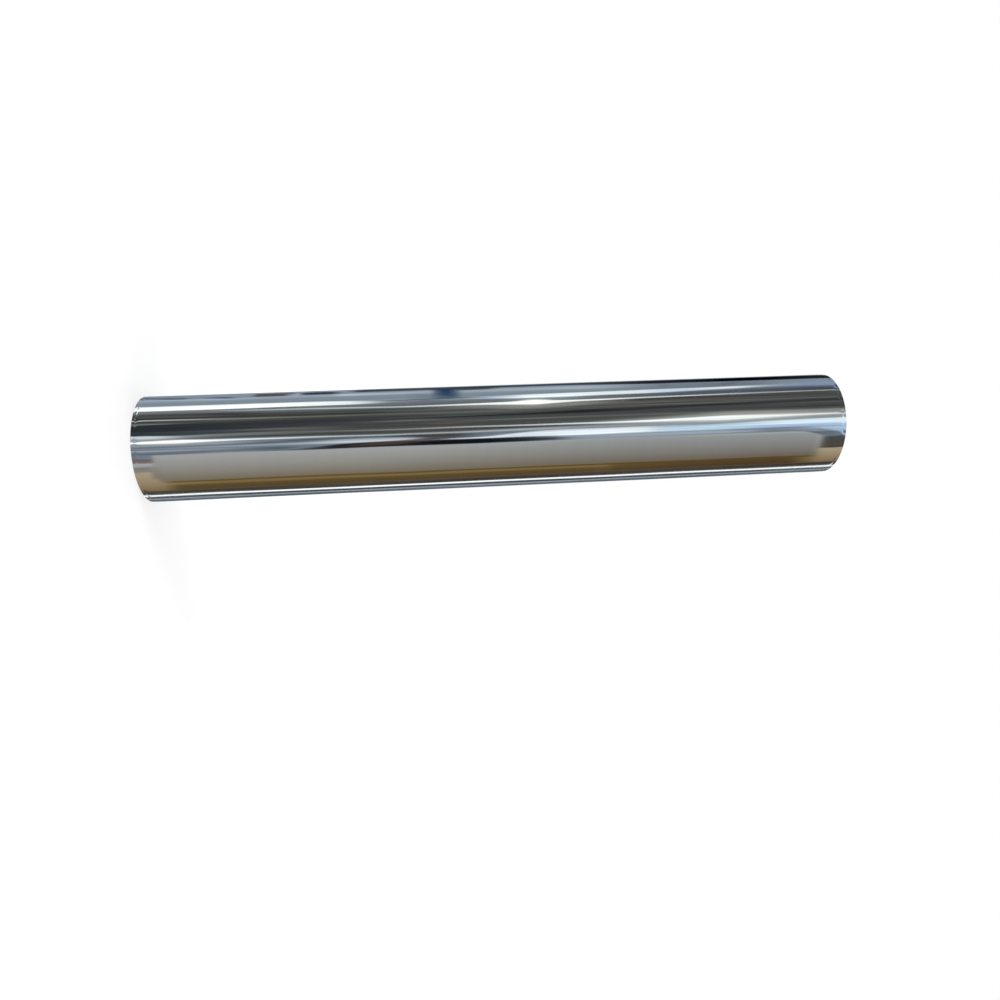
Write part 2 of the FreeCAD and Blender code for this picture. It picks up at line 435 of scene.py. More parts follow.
def make_foil():
    """The wound turns: rippled bright side, eased rims and ringed ends round the core."""
    azimuth = np.linspace(-math.pi, math.pi, FOIL_COLUMNS, endpoint=False)
    heights = side_rows()
    ripples = ripple(azimuth[None, :], heights[:, None])
    worn = eased_edge(heights[:, None]) + dents(azimuth[None, :], heights[:, None])
    worn += crinkle(azimuth[None, :], heights[:, None])
    calm = smooth_step(0, 2 * EDGE_BAND, np.minimum(heights, WEB_WIDTH - heights))[:, None]
    share = RIPPLE_AT_RIM + (1 - RIPPLE_AT_RIM) * calm
    radii = last_turn_radius(azimuth)[None, :] - worn + (ripples - np.abs(ripples).max()) * share
    side = [loop(radii[i], azimuth, height) for i, height in enumerate(heights)]

    edges = band_edges() + [ROLL_RADIUS - EDGE_DROP - RIM_BREAK - FACE_INSET]
    rings = []
    for k, offset in enumerate(band_offsets()):
        middle = (edges[k] + edges[k + 1]) / 2
        halves = ((edges[k], middle, 0.0), (middle, edges[k + 1], HALF_BAND_STEP * (-1) ** k))
        for inner, outer, lift in halves:
            rings.append((inner, outer, max(offset + lift, 0.0)))
    low_end = []
    high_end = []
    for inner, outer, lift in rings:
        low_end += [loop(inner, azimuth, lift), loop(outer, azimuth, lift)]
        high_end += [loop(inner, azimuth, WEB_WIDTH + lift), loop(outer, azimuth, WEB_WIDTH + lift)]
    foil = lathe_mesh("foil", low_end + side + high_end[::-1], FOIL_COLUMNS, closed=True)

    foil.data.materials.append(bright_foil())
    foil.data.materials.append(cut_edges())
    end_rows = len(low_end)
    side_end = end_rows + len(side) - 1
    for face in foil.data.polygons:
        row = face.index // FOIL_COLUMNS
        if row < end_rows - 1 or row > side_end:
            face.material_index = 1
    foil.data.set_sharp_from_angle(angle=SHARP_ANGLE)
    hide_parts("foil_roll")
    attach(foil, "root")
    return foil


def dress_core():
    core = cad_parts["core_tube"]
    core.data.materials.clear()
    core.data.materials.append(kraft_board())


# The room that the foil mirrors, painted one patch over another. A patch has the tones of its two
# edges, as they show on a screen, the softness of those edges in degrees, and its course along the
# roll: height in millimetres, azimuth of each edge, and how strongly it shows there
ROOM_WALLS = [
    ("hall", (112, 122, 134), (112, 122, 134), 1, [(0, -180, 180, 1)]),
    ("upper_wall", (128, 140, 156), (124, 137, 146), 14, [(0, -128, -76, 1)]),
    ("haze", (172, 180, 193), (160, 170, 182), 9, [
        (0, -101, -91, 0.5), (50, -100, -91, 0.75), (100, -101, -91, 0.4), (150, -100, -91, 0.6),
        (250, -101, -90, 0.6), (340, -101, -89, 0.85), (380, -101, -88, 0.95), (430, -100, -88, 0.4),
        (500, -98, -88, 0)]),
    ("right_dusk", (110, 117, 128), (98, 110, 123), 8, [
        (400, -99, -80, 0), (450, -99, -79, 0.6), (510, -99, -79.5, 0.85), (545, -99, -81, 0.8),
        (575, -98, -84, 0.2), (600, -98, -84, 0)]),
    ("under_window", (118, 124, 130), (84, 88, 90), 6, [(0, -68, -55, 1)]),
    ("dark_wall", (72, 73, 72), (69, 72, 71), 6, [
        (0, -58, -18, 1), (60, -58, -14.5, 1), (100, -58, -12, 1), (180, -56, -9, 1), (260, -54, -9, 1),
        (340, -56, -10.5, 1), (372, -57, -13, 1), (420, -58, -18, 1), (620, -62, -14, 1)]),
    ("brown_niche", (50, 50, 50), (46, 46, 44), 4, [
        (40, -56, -47, 0), (80, -56, -46, 0.85), (180, -54, -44, 0.85), (240, -52, -46, 0)]),
    ("green_ledge", (88, 90, 82), (84, 86, 76), 3, [
        (50, -45, -41, 0), (90, -45, -41, 0.7), (190, -44, -40, 0.7), (300, -43, -39, 0)]),
    ("warm_wall", (82, 80, 78), (80, 78, 76), 5, [
        (380, -50, -42, 0), (440, -52, -43, 0.7), (500, -54, -44, 0.55), (560, -54, -44, 0.2),
        (630, -54, -46, 0)]),
    ("pillar", (42, 46, 49), (38, 46, 50), 5, [
        (-20, -38, -20, 1), (60, -39, -22, 0.9), (90, -40.5, -25, 0.7), (130, -38, -27, 0.5),
        (200, -35, -30, 0.2)]),
    ("blue_niche", (42, 43, 54), (44, 46, 56), 4, [
        (70, -38, -31, 0), (100, -38, -30, 0.6), (190, -36, -31, 0.6), (230, -36, -32, 0)]),
    ("seam", (34, 36, 37), (40, 41, 42), 2.5, [
        (180, -34, -32, 0), (260, -35, -32, 0.5), (330, -36.5, -33.5, 0.7), (375, -38.5, -33, 1),
        (420, -37, -33, 0.8), (470, -38.6, -35, 0.7), (500, -40.5, -36, 0.7), (550, -41.8, -37.3, 0.8),
        (620, -42.6, -38, 0.8)]),
    ("grey_ledge", (132, 142, 146), (144, 153, 158), 4, [
        (260, -10, -7, 0), (320, -10.4, -7, 0.8), (370, -11, -7, 0.8), (420, -12, -6, 1),
        (620, -13, -6, 1)]),
    ("lower_wall", (116, 124, 132), (112, 121, 130), 5, [
        (0, -8, 9, 1), (190, -8, 9, 0.6), (240, -6, 9, 0)]),
    ("lower_dusk", (72, 82, 90), (90, 100, 110), 3.4, [
        (15, -7, -3, 0), (60, -8, -2, 0.4), (95, -8.6, -1.4, 1), (130, -8.4, -2.4, 1),
        (160, -8, -5, 0.8), (205, -8, 3, 0.9), (240, -9, 3, 0)]),
    ("gloom", (60, 63, 61), (66, 66, 67), 3, [
        (196, -7, -3, 0), (214, -8, -3, 0.9), (228, -8, 2, 0.95), (262, -7.6, 1, 0.95),
        (282, -6, -1, 0.3), (302, -5, 1, 0)]),
    ("under_table", (74, 66, 58), (60, 62, 66), 8, [(0, 74, 104, 1)]),
    ("side_wall", (84, 92, 100), (126, 136, 148), 16, [(0, 104, 140, 1)]),
    ("back_wall", (100, 108, 116), (58, 62, 66), 18, [(0, 140, 200, 1)]),
    ("back_corner", (66, 70, 73), (104, 112, 124), 16, [(0, 200, 236, 1)]),
    ("side_case", (44, 48, 54), (74, 82, 92), 3, [(0, 117, 126, 0.8)]),
    ("side_pale", (184, 192, 200), (156, 166, 178), 6, [(0, 130, 139, 0.7)]),
    ("back_case", (38, 40, 44), (62, 66, 72), 3, [(0, 209, 219, 0.8)]),
    ("back_pale", (178, 186, 194), (142, 152, 164), 6, [(0, 223, 231, 0.6)]),
]
ROOM_THINGS = [
    ("top_beam", (2, 3, 4), (4, 5, 7), 3, [
        (165, -124, -110, 0), (175, -124, -107.3, 0.85), (230, -124, -106.8, 0.8),
        (300, -124, -107, 0.85), (316, -124, -109, 0.8), (374, -124, -109, 0.8),
        (400, -124, -105, 0.85), (430, -124, -102.4, 0.9), (452, -124, -100.8, 0.95),
        (476, -124, -101.4, 0.95), (520, -124, -101, 1), (570, -124, -99.8, 1),
        (620, -123, -99.6, 0.95)]),
    ("brown_case", (78, 74, 76), (90, 82, 76), 3, [
        (78, -118, -103, 0), (84, -120, -102, 1), (113, -120, -102, 1), (120, -118, -103, 0)]),
    ("case_outline", (50, 52, 62), (50, 52, 62), 1.6, [
        (74, -104, -102, 0), (84, -103.8, -101.8, 0.8), (112, -103.8, -101.8, 0.8),
        (122, -107, -105, 0.9), (132, -103.5, -101.5, 0.9), (154, -104.5, -102.5, 0.8),
        (168, -106, -104, 0)]),
    ("case_gap", (188, 194, 206), (196, 200, 210), 3, [
        (111, -110, -102, 0), (118, -110, -102, 0.8), (124, -108, -101, 0)]),
    ("dark_case", (38, 45, 56), (54, 62, 76), 3, [
        (121, -117, -104, 0), (127, -118, -103.4, 1), (142, -117, -102.6, 1), (152, -117, -101.2, 1),
        (160, -116, -103, 0)]),
    ("mottle", (84, 94, 112), (78, 88, 108), 4, [
        (-15, -112, -103, 0), (2, -113, -101, 0.6), (20, -106, -99, 0.7), (32, -106, -100, 0),
        (40, -107, -101, 0.2), (58, -106, -98, 1), (70, -101, -97, 0)]),
    ("crease", (36, 40, 52), (48, 54, 68), 2, [
        (-20, -116, -111, 0.9), (-9, -112, -106, 0.9), (0, -106, -103, 0.4), (8, -106, -102, 0.9),
        (18, -101.5, -98.5, 0.9), (28, -104, -102, 0.2), (42, -106, -103, 0.5), (58, -101.5, -98.5, 1),
        (66, -100, -98, 0.5), (80, -98, -97, 0)]),
    ("gleam", (176, 188, 204), (170, 182, 200), 2, [
        (-20, -99, -96, 0.3), (24, -98, -95.5, 0.8), (56, -96, -93.5, 0.7), (100, -96, -94, 0.3),
        (140, -95, -93, 0)]),
    ("bright_case", (190, 194, 206), (182, 188, 200), 4, [
        (152, -102, -92, 0), (160, -101.5, -92, 0.9), (180, -98, -92, 0.7), (230, -97, -90, 0.2),
        (250, -96, -90, 0)]),
    ("blue_post", (36, 46, 76), (50, 80, 106), 3, [
        (242, -108, -72, 0), (247, -108, -71, 1), (263, -108, -71, 1), (267, -107, -72, 0)]),
    ("post_shade", (112, 122, 132), (104, 112, 120), 5, [
        (215, -92, -68, 0), (238, -92, -66, 0.7), (249, -78, -64, 0.35), (264, -76, -64, 0.3),
        (285, -76, -66, 0)]),
    ("wire", (80, 72, 86), (84, 88, 100), 3, [
        (455, -104, -84, 0), (459, -104, -84, 0.8), (463, -104, -86, 0)]),
    ("second_wire", (96, 88, 104), (100, 92, 106), 3, [
        (512, -86, -82, 0), (517, -90, -82, 0.5), (524, -98, -86, 0.5), (531, -103, -94, 0.5),
        (536, -103, -97, 0)]),
    ("dark_niche", (42, 48, 56), (76, 88, 100), 4, [
        (262, -112, -98, 0), (268, -112, -97, 0.9), (282, -111, -98, 0.9), (295, -110, -99.6, 0.85),
        (303, -110, -101, 0)]),
    ("under_glow", (156, 172, 182), (124, 136, 144), 4, [
        (300, -69, -61, 0), (322, -69, -60, 0.6), (365, -69, -60, 0.65), (390, -69, -62, 0)]),
    ("window", (252, 258, 256), (252, 258, 254), 3, [
        (-20, -76, -66, 1), (90, -76.5, -65.2, 1), (150, -75.5, -65.2, 1), (168, -74.6, -65.2, 0.95),
        (184, -73.2, -65.6, 0.62), (202, -71.5, -66.5, 0.12), (235, -70, -67, 0), (290, -74, -68, 0.2),
        (325, -76, -66.6, 0.9), (365, -77, -66.6, 0.95), (400, -77.5, -67.5, 0.8),
        (440, -78, -68, 0.75), (475, -79, -71.5, 0.55), (525, -80, -74, 0.75), (555, -80, -76.5, 0.3),
        (600, -80, -77.5, 0)]),
    ("window_blue", (176, 204, 240), (186, 208, 240), 3, [
        (270, -75, -69, 0), (300, -75, -69, 0.6), (325, -75, -69, 0.1), (430, -76, -68, 0.2),
        (460, -77, -68, 0.6), (500, -77, -72, 0)]),
    ("navy_shelf", (94, 103, 115), (38, 45, 53), 3, [
        (395, -66, -60.4, 0), (420, -66.6, -59.8, 0.35), (450, -68.4, -59.6, 0.5),
        (470, -69.4, -59.6, 0.85), (510, -71, -59.6, 0.95), (545, -72.6, -59.6, 0.97),
        (600, -75, -59.8, 1), (640, -75, -59.8, 1)]),
    ("blue_haze", (134, 148, 178), (126, 142, 176), 6, [
        (540, -84, -75, 0), (600, -86, -74, 0.7), (640, -86, -73, 0.9)]),
    ("edge_shade", (24, 26, 27), (28, 27, 27), 1.6, [
        (-20, -50, -47.5, 0.9), (40, -49, -46.5, 0.6), (110, -48, -45.5, 0)]),
    ("rail", (214, 216, 212), (206, 208, 202), 1.2, [
        (-20, -47.6, -45.9, 0.8), (0, -47.2, -45.6, 0.6), (15, -46.7, -44.9, 0.55),
        (35, -46.3, -44.7, 0.42), (60, -46, -44.2, 0.18), (80, -45.6, -43.6, 0.06),
        (200, -43.5, -41, 0.06), (300, -41.5, -39, 0.1), (340, -41, -39, 0)]),
    ("rail_shade", (46, 49, 49), (52, 55, 54), 2, [
        (-20, -45, -42.5, 0.7), (20, -44, -42, 0.7), (45, -43.6, -42, 0.4), (70, -43, -41.5, 0)]),
    ("second_rail", (160, 170, 172), (150, 160, 160), 1.4, [
        (-20, -40.5, -38.5, 0.5), (5, -39.6, -38, 0.34), (24, -39, -37.5, 0.1), (45, -38, -36.5, 0)]),
    ("niche_shade", (54, 58, 55), (46, 50, 50), 3, [
        (15, -41, -36, 0), (40, -40.5, -36, 0.6), (90, -40.8, -36, 0.9), (140, -41.5, -36.4, 0.8),
        (180, -42, -37, 0.75), (215, -42, -37, 0.6), (260, -41, -37, 0)]),
    ("cable", (132, 136, 134), (132, 136, 132), 1.4, [
        (150, -30, -28.5, 0), (215, -31, -29, 0.45), (265, -30, -28, 0)]),
    ("brown_cable", (110, 94, 88), (100, 94, 88), 2, [
        (225, -24, -22, 0), (252, -24.5, -21.5, 0.5), (285, -25, -23, 0.2), (330, -26, -24.5, 0)]),
    ("line_glow", (120, 127, 127), (70, 73, 76), 4, [
        (60, -57, -52, 0), (100, -57, -51.5, 0.7), (150, -57, -51, 0.8), (210, -56, -50.5, 0.6),
        (300, -55, -50.5, 0.5), (330, -54, -50, 0)]),
    ("line_gap", (84, 98, 104), (66, 80, 85), 2, [
        (138, -62.4, -60.6, 0), (160, -62.4, -60, 0.75), (190, -62.8, -59.4, 0.75),
        (215, -63.4, -58.6, 0.65), (250, -64.4, -59.6, 0.6), (285, -65, -61, 0)]),
    ("line_shade", (52, 56, 56), (60, 64, 62), 2, [
        (455, -57, -54.6, 0), (480, -57.4, -55, 0.6), (540, -58.6, -55, 0.8), (600, -59.4, -55.6, 0.8),
        (640, -59.6, -56, 0.8)]),
    ("ceiling_line", (250, 254, 250), (250, 254, 248), 1.3, [
        (40, -63, -61.5, 0.1), (120, -60.3, -58.4, 0.42), (170, -58.6, -55.9, 0.48),
        (210, -57.4, -55.1, 0.58), (250, -56.9, -54.6, 0.9), (290, -58, -53.6, 1), (333, -60, -51, 1),
        (370, -58, -54.6, 1), (400, -58.2, -55.7, 0.98), (440, -59.1, -57.3, 0.92),
        (480, -60.1, -58.5, 0.84), (530, -60.9, -59.5, 0.64), (590, -61.3, -60, 0.56),
        (640, -61.6, -60.2, 0.5)]),
    ("ceiling_lamp", (276, 278, 266), (276, 276, 262), 6, [
        (312, -58, -55, 0), (326, -62.5, -50.5, 1), (340, -62.5, -50.5, 1), (354, -58, -55, 0)]),
    ("lamp_tail", (180, 180, 172), (146, 148, 142), 4, [
        (235, -54, -49, 0), (275, -53.5, -48, 0.35), (322, -52, -43, 0.55), (346, -52, -43.6, 0.5),
        (375, -54.5, -47, 0.5), (430, -56, -50, 0)]),
    ("left_glow", (206, 211, 214), (132, 142, 150), 2.2, [
        (-20, -21, -13, 1), (4, -20.6, -13.4, 1), (16, -19, -13, 0.75), (32, -19, -13.4, 0.26),
        (60, -20.4, -15.6, 0.16), (90, -20.4, -15.6, 0.16), (150, -18.6, -16, 0.06),
        (200, -18, -15.6, 0)]),
    ("left_lamp", (256, 256, 252), (254, 248, 244), 2, [
        (-20, -12.5, -8.9, 1), (12, -13, -8.1, 1), (26, -13.4, -7.6, 1), (44, -11.7, -8.4, 1),
        (80, -10.6, -8.9, 0.92), (150, -10.1, -8.9, 0.66), (210, -9.2, -8.1, 0.54),
        (270, -9.2, -8.1, 0.48), (320, -9.3, -8.3, 0.4), (380, -9, -8, 0)]),
    ("left_lines", (92, 98, 112), (92, 98, 116), 1.5, [
        (-20, -1.2, 0.6, 0.9), (40, -0.6, 0.6, 0.5), (90, 0, 1, 0)]),
    ("left_line_light", (150, 160, 176), (146, 156, 170), 1.4, [
        (-20, 1.2, 2.6, 0.8), (60, 2, 3.4, 0.5), (110, 3, 4, 0)]),
    ("green_shade", (70, 86, 92), (78, 92, 96), 3, [
        (60, 3, 8, 0), (92, 2.6, 8, 0.6), (110, 3, 8, 0.9), (126, 4, 8.4, 0.4), (142, 6, 8, 0)]),
    ("right_halo", (118, 120, 114), (216, 220, 216), 5, [
        (370, -18, -14, 0), (400, -20.8, -13, 0.26), (430, -22, -12.4, 0.46), (460, -23, -11.6, 0.75),
        (505, -25.5, -10.2, 0.95), (545, -25.6, -11.6, 0.85), (600, -25, -13.6, 0.6),
        (640, -25, -13.6, 0.6)]),
    ("right_lamp", (254, 258, 254), (254, 258, 254), 1.8, [
        (110, -17.8, -16.6, 0), (170, -17.6, -16.4, 0.08), (220, -17.2, -15.9, 0.24),
        (265, -16.9, -15.6, 0.5), (320, -16, -14.6, 0.66), (370, -16.2, -14.2, 0.8),
        (420, -16.2, -13.7, 0.95), (470, -17.2, -13.2, 1), (502, -19, -11.8, 1),
        (532, -18.2, -13, 0.98), (572, -17.4, -14.6, 0.9), (640, -17, -15.4, 0.85)]),
    ("pale_wedge", (132, 144, 150), (206, 214, 220), 2.2, [
        (105, -1, 0.6, 0), (130, -1.6, 1, 0.4), (165, -4.6, 2, 0.95), (200, -4.8, 1.4, 1),
        (214, -4.4, 0.2, 0.95), (224, -4.2, -1.2, 0.7), (236, -3, -1.8, 0)]),
    ("wedge", (20, 24, 31), (13, 14, 20), 1.6, [
        (116, 8.4, 10.2, 0), (134, 6.9, 10.2, 0.75), (160, 3.2, 10.2, 1), (190, 1.8, 10.2, 0.95),
        (216, 1, 10.2, 0.95), (234, 2.6, 10.2, 1), (295, 2.8, 10.2, 1), (320, 3.4, 10.4, 0.92),
        (335, 3.8, 10.4, 0.76), (352, 5.2, 10.4, 0.55), (366, 7, 10.4, 0.26), (384, 9, 10.4, 0)]),
    ("wedge_brown", (96, 76, 70), (70, 52, 45), 2, [
        (150, 7, 9, 0), (178, 4.6, 8.4, 0.5), (200, 2, 8, 0.7), (218, 1, 6, 0.75), (232, 1.2, 4.4, 0.6),
        (246, 2, 4, 0)]),
    ("sky", (242, 248, 250), (230, 240, 247), 2, [
        (245, 0.4, 1.4, 0), (265, 0.4, 1.9, 0.82), (290, 0.1, 2, 0.94), (312, -3.4, 2, 0.74),
        (335, -6, 2.2, 0.84), (352, -6.2, 3, 0.92), (370, -6.3, 4, 0.97), (400, -5.8, 3.8, 0.97),
        (430, -6.2, 3.4, 0.88), (462, -4.6, 3.4, 0.3), (485, -3, 3.4, 0)]),
    ("cyan_sky", (184, 206, 222), (192, 220, 236), 2.4, [
        (430, -6.6, 3.4, 0), (455, -6.4, 3.8, 0.9), (490, -5.4, 3.9, 0.95), (525, -7, 3.4, 0.9),
        (555, -7, 3.4, 0.4), (580, -7, 3.4, 0)]),
    ("pale_sky", (232, 244, 246), (204, 226, 246), 2, [
        (515, -6, -1.6, 0), (540, -7.6, -1.4, 0.7), (560, -7.5, -0.8, 0.95), (575, -7.7, -0.4, 0.97),
        (590, -7.9, 0.4, 1), (640, -8.4, 1, 1)]),
    ("sky_blue", (184, 210, 236), (156, 180, 205), 2.2, [
        (515, 0.4, 4.4, 0), (538, -0.2, 4.4, 0.8), (562, -0.6, 4.5, 0.94), (578, -0.6, 5, 0.95),
        (592, -0.6, 6, 0.95), (604, -0.6, 12, 0.9), (640, 0, 22, 0.9)]),
    ("sky_fringe", (150, 167, 181), (152, 160, 171), 4, [
        (346, 4, 9, 0), (368, 4, 9.6, 0.75), (395, 4.4, 10, 0.9), (500, 4.4, 10, 0.9),
        (530, 5, 10, 0.5), (545, 5, 9, 0), (590, 6.6, 11, 0.6), (602, 7, 16, 0)]),
    ("left_shelf", (92, 86, 92), (130, 104, 92), 2, [(0, 14.5, 19, 1), (26, 14.5, 19, 0)]),
    ("left_shelf_edge", (88, 80, 78), (88, 80, 78), 1.4, [(0, 19.4, 21, 1), (26, 19.4, 21, 0)]),
    ("left_shelf_front", (166, 165, 163), (150, 150, 148), 3, [(0, 21, 28, 1), (26, 21, 28, 0)]),
    ("left_shelf_foot", (124, 122, 118), (130, 126, 116), 3, [(0, 28, 36, 1), (26, 28, 36, 0)]),
    ("table", (166, 153, 128), (122, 102, 70), 2.5, [
        (0, 36, 76, 1), (590, 36, 76, 1), (600, 43.5, 76, 1)]),
    ("table_line", (112, 92, 62), (112, 92, 62), 2, [
        (12, 48.5, 51, 0), (24, 48.5, 51, 0.6), (60, 49, 51, 0)]),
    ("right_shelf", (64, 68, 74), (76, 66, 52), 1.6, [
        (590, 22, 42.5, 0), (598, 22, 42.5, 1), (640, 22, 42.5, 1)]),
    ("right_shelf_foot", (50, 42, 32), (54, 46, 34), 1.4, [
        (592, 40.6, 42.6, 0), (598, 40.6, 42.6, 0.8), (640, 40.6, 42.6, 0.8)]),
    ("pale_shadow", (132, 112, 72), (104, 82, 48), 4, [
        (4, 50, 76, 0), (16, 50, 76, 0.7), (60, 50, 76, 1), (560, 50, 76, 1), (596, 50, 76, 0.6),
        (604, 50, 76, 0)]),
    ("brown_floor", (84, 64, 38), (66, 50, 32), 4, [
        (396, 57, 76, 0), (406, 57, 76, 0.7), (500, 57, 76, 0.9), (575, 57, 76, 0.9),
        (598, 60, 76, 0)]),
    ("floor_shade", (88, 74, 46), (76, 62, 38), 4, [
        (6, 62.5, 76, 0), (20, 62.5, 76, 0.85), (380, 63, 76, 0.85), (420, 64, 76, 0.4),
        (600, 65, 76, 0)]),
    ("pale_front", (159, 161, 160), (116, 107, 90), 1.8, [
        (3, 9, 53, 0), (6, 9, 53, 1), (80, 9.2, 53.4, 1), (140, 10.2, 53.8, 1), (300, 10.4, 54.5, 1),
        (380, 10.4, 55, 1), (480, 11, 56, 1), (575, 11.5, 57, 1), (590, 13, 57, 1), (597, 18, 57, 1),
        (600, 26, 57, 0)]),
    ("pale_corner", (139, 135, 127), (121, 113, 98), 5, [
        (-1, 28, 48, 0), (2, 28, 48, 1), (7, 28, 48, 1), (9, 28, 48, 0)]),
    ("pale_shade", (142, 146, 147), (104, 94, 82), 3, [
        (200, 12, 53, 0), (420, 12, 54, 0.7), (590, 15, 56, 0.9), (597, 20, 56, 0)]),
    ("pale_foot", (84, 72, 46), (86, 72, 42), 2, [
        (4, 53.5, 57, 0), (14, 53.5, 57, 0.85), (300, 55, 58.4, 0.9), (420, 55.4, 58.8, 1),
        (590, 57, 60.5, 1), (602, 57, 60.5, 0)]),
    ("end_glow", (240, 246, 246), (214, 226, 240), 8, [(622, -20, 8, 0), (632, -20, 8, 0.7)]),
    ("side_window", (256, 262, 262), (256, 262, 262), 2, [(0, 89, 95, 1)]),
    ("side_line", (236, 240, 240), (236, 240, 240), 1.2, [(0, 107, 109, 0.7), (620, 106, 108, 0.6)]),
    ("back_window", (250, 256, 260), (250, 256, 260), 3, [
        (-20, 147, 158, 1), (300, 149, 158, 0.85), (620, 150, 161, 1)]),
    ("back_line", (214, 220, 224), (214, 220, 224), 1.2, [(0, 170, 172, 0.5), (620, 171, 173, 0.7)]),
    ("back_lamp", (256, 258, 256), (256, 258, 256), 2, [
        (-20, 197, 202, 0.9), (300, 197, 200, 0.7), (620, 195, 200, 1)]),
]
# Faint lines along the walls: how many, between which azimuths, and their least and most width and
# strength, length in millimetres, darker and lighter tones, drift in azimuth, share of their length
# that may lie past each end of the roll, and share of their width that is left at their tips
STREAKS = 380
STREAK_RANGE = (-76, 240)
STREAK_WIDTH = (0.6, 1.5)
STREAK_STRENGTH = (0.30, 1.00)
STREAK_LENGTH = (80, 460)
STREAK_TONES = ((0.36, 0.36, 0.38), (2.05, 2.05, 1.98))
STREAK_DRIFT = 3.5
STREAK_PAST_LOW_END = 0.7
STREAK_BEFORE_HIGH_END = 0.3
STREAK_TIP_WIDTH = 0.4
# Finer lines over everything in the room: how many, where, how wide and how dark or light
FINE_STREAKS = 260
FINE_RANGE = (-74, 9)
FINE_WIDTH = (0.4, 0.9)
FINE_TONES = ((0.74, 0.74, 0.76), (1.30, 1.30, 1.28))
FOIL_REFLECTANCE = 0.90

# The sleeve: its rows are close together near the roll's two ends, where most patches begin and end. A
# course is worked out at even steps over the sleeve's height, all in millimetres
ROOM_RADIUS = 80 * MM
ROOM_COLUMNS = 720
ROOM_HEIGHTS = [-300, -160, -80, *range(-32, -8, 6), *range(-8, 24, 2), *range(24, 584, 6),
                *range(584, 604, 2), *range(604, 645, 5), 660]
COURSE_LOW = -320
COURSE_HIGH = 680
COURSE_STEP = 5
COURSE_SMOOTHING = 4


def smooth_course(knots, values, heights):
    """A course's values at the heights, with the bends at its knots smoothed."""
    steps = np.arange(COURSE_LOW, COURSE_HIGH + COURSE_STEP, COURSE_STEP)
    kernel = np.hanning(2 * COURSE_SMOOTHING + 3)[1:-1]
    padded = np.pad(np.interp(steps, knots, values), COURSE_SMOOTHING, mode="edge")
    return np.interp(heights, steps, np.convolve(padded, kernel / kernel.sum(), mode="valid"))


def angle_from(middle, azimuth):
    return (azimuth - middle + 180) % 360 - 180


def paint_patch(light, azimuth, heights, patch):
    """Lays one patch over the room's light, in place."""
    _, low_tone, high_tone, soft, course = patch
    knots = np.array(course, float)
    low, high = (smooth_course(knots[:, 0], knots[:, k], heights)[:, None] for k in (1, 2))
    strength = np.interp(heights, knots[:, 0], knots[:, 3])[:, None]
    half = (high - low) / 2
    off = angle_from((low + high) / 2, azimuth[None, :])
    weight = (smooth_step(half + soft / 2, half - soft / 2, np.abs(off)) * strength)[..., None]
    across = np.clip(0.5 + off / (2 * half), 0, 1)[..., None]
    tone = linear(*low_tone) * (1 - across) + linear(*high_tone) * across
    light *= 1 - weight
    light += tone * weight


def paint_streaks(light, azimuth, heights, count, span, widths, tones):
    """Multiplies the room's light by faint lines that run along the roll, bow and taper."""
    for k in range(count):
        place = random.uniform(*span)
        width = random.uniform(*widths)
        strength = random.uniform(*STREAK_STRENGTH)
        length = random.uniform(*STREAK_LENGTH)
        latest = ROLL_LENGTH / MM - STREAK_BEFORE_HIGH_END * length
        start = random.uniform(-STREAK_PAST_LOW_END * length, latest)
        drift = random.uniform(-STREAK_DRIFT, STREAK_DRIFT)
        along = np.clip((heights - start) / length, 0, 1)
        middle = place + drift * along ** 2
        taper = np.sin(math.pi * along)[:, None]
        off = angle_from(middle[:, None], azimuth[None, :])
        reach = width * (STREAK_TIP_WIDTH + (1 - STREAK_TIP_WIDTH) * taper)
        weight = np.exp(-(off / reach) ** 2) * taper * strength
        light *= 1 + weight[..., None] * (np.array(tones[k % 2]) - 1)


def room_light(azimuth, heights):
    """Colours of the room, by height and azimuth, in linear light."""
    light = np.zeros((len(heights), len(azimuth), 3))
    for patch in ROOM_WALLS:
        paint_patch(light, azimuth, heights, patch)
    paint_streaks(light, azimuth, heights, STREAKS, STREAK_RANGE, STREAK_WIDTH, STREAK_TONES)
    for patch in ROOM_THINGS:
        paint_patch(light, azimuth, heights, patch)
    paint_streaks(light, azimuth, heights, FINE_STREAKS, FINE_RANGE, FINE_WIDTH, FINE_TONES)
    return light / FOIL_REFLECTANCE


def make_room():
    """A glowing sleeve close round the roll that only its reflections see: the room that the foil mirrors,
    painted as its reflections.
    """
    azimuth = np.linspace(-180, 180, ROOM_COLUMNS, endpoint=False)
    heights = np.array(ROOM_HEIGHTS, float)
    loops = [loop(ROOM_RADIUS, np.radians(azimuth), height * MM) for height in heights]
    room = lathe_mesh("room", loops, ROOM_COLUMNS, closed=False)
    light = room_light(azimuth, heights).reshape(-1, 3)
    colours = np.concatenate([light, np.ones((len(light), 1))], 1)
    attribute = room.data.attributes.new("light", "FLOAT_COLOR", "POINT")
    attribute.data.foreach_set("color", colours.astype(np.float32).ravel())

    nodes = Nodes("room", shader="ShaderNodeEmission")
    nodes.set(Color=nodes.add("ShaderNodeAttribute", attribute_name="light").outputs["Color"])
    room.data.materials.append(nodes.owner)
    for ray in ("camera", "diffuse", "transmission", "volume_scatter", "shadow"):
        setattr(room, "visible_" + ray, False)


# Floor and backdrop: white to the camera and in the foil, plain pale surfaces to the light
BACKDROP_LIGHT = 0.72
FLOOR_COLUMNS = 96
FLOOR_RINGS = (6.0, 2.0, 0.5, 0.1, 0.0005)
FLOOR_ALBEDO = 0.80
FLOOR_SHADE = 0.50
FLOOR_GLOW_NEAR = 0.56
FLOOR_GLOW_FAR = 0.68
GLOW_RISES_FROM = 0.3
GLOW_RISES_TO = 2.0


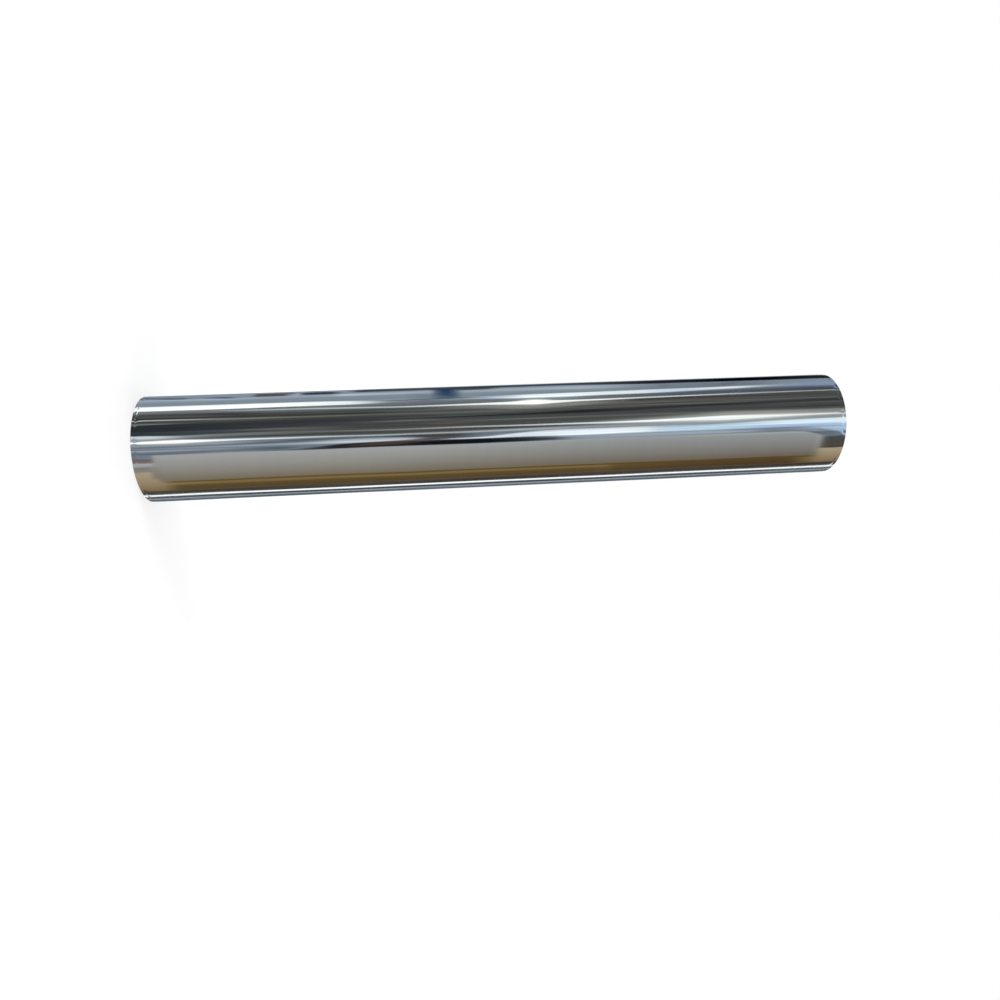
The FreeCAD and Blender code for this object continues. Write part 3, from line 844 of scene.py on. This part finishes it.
def seen_directly(nodes):
    """1 for camera, glossy and transmission rays, 0 for the light that falls on things."""
    path = nodes.add("ShaderNodeLightPath").outputs
    seen = nodes.math("MAXIMUM", path["Is Camera Ray"], path["Is Glossy Ray"])
    return nodes.math("MAXIMUM", seen, path["Is Transmission Ray"])


def make_backdrop():
    world = bpy.data.worlds.new("backdrop")
    bpy.context.scene.world = world
    nodes = Nodes("backdrop", shader="ShaderNodeBackground", owner=world)
    seen = seen_directly(nodes)
    strength = nodes.range(seen, low=0.0, high=1.0, to_low=BACKDROP_LIGHT, to_high=1.0)
    nodes.set(Color=(1, 1, 1, 1), Strength=strength)


def make_floor():
    """A round floor that shows white, darkened only by what stands on it."""
    azimuth = np.linspace(-math.pi, math.pi, FLOOR_COLUMNS, endpoint=False)
    loops = [loop(radius, azimuth, 0.0) for radius in FLOOR_RINGS]
    floor = lathe_mesh("floor", loops, FLOOR_COLUMNS, closed=False)
    nodes = Nodes("floor", shader="ShaderNodeMixShader")
    plain = nodes.add("ShaderNodeBsdfDiffuse")
    plain.inputs["Color"].default_value = (FLOOR_ALBEDO,) * 3 + (1,)
    shaded = nodes.add("ShaderNodeBsdfDiffuse")
    shaded.inputs["Color"].default_value = (FLOOR_SHADE,) * 3 + (1,)
    glow = nodes.add("ShaderNodeEmission")
    radius, _, _ = nodes.polar()
    strength = nodes.range(radius, GLOW_RISES_FROM, GLOW_RISES_TO, FLOOR_GLOW_NEAR, FLOOR_GLOW_FAR)
    nodes.link(strength, glow.inputs["Strength"])
    both = nodes.add("ShaderNodeAddShader")
    nodes.link(shaded.outputs[0], both.inputs[0])
    nodes.link(glow.outputs[0], both.inputs[1])
    nodes.link(seen_directly(nodes), nodes.shader.inputs["Fac"])
    nodes.link(plain.outputs[0], nodes.shader.inputs[1])
    nodes.link(both.outputs[0], nodes.shader.inputs[2])
    floor.data.materials.append(nodes.owner)
    floor.visible_glossy = False


# Soft lamps: name, place, size, power in watts and whether bright metal shows it
LAMPS = [
    ("key", (-2.0, -0.9, 1.7), 1.4, 20.0, False),
    ("fill", (1.9, -0.3, 1.3), 1.6, 10.0, False),
    ("back", (0.5, 2.1, 1.7), 1.4, 8.0, True),
]


def make_lamps():
    for name, place, size, power, mirrored in LAMPS:
        data = bpy.data.lights.new(name, "AREA")
        data.shape = "DISK"
        data.size = size
        data.energy = power
        lamp = bpy.data.objects.new(name, data)
        lamp.location = place
        towards = Vector((0, 0, ROLL_LENGTH / 2)) - lamp.location
        lamp.rotation_euler = towards.to_track_quat("-Z", "Y").to_euler()
        lamp.visible_glossy = mirrored
        bpy.context.scene.collection.objects.link(lamp)


make_camera()
make_foil()
dress_core()
make_room()
make_backdrop()
make_floor()
make_lamps()
bpy.context.scene.view_settings.view_transform = "Standard"
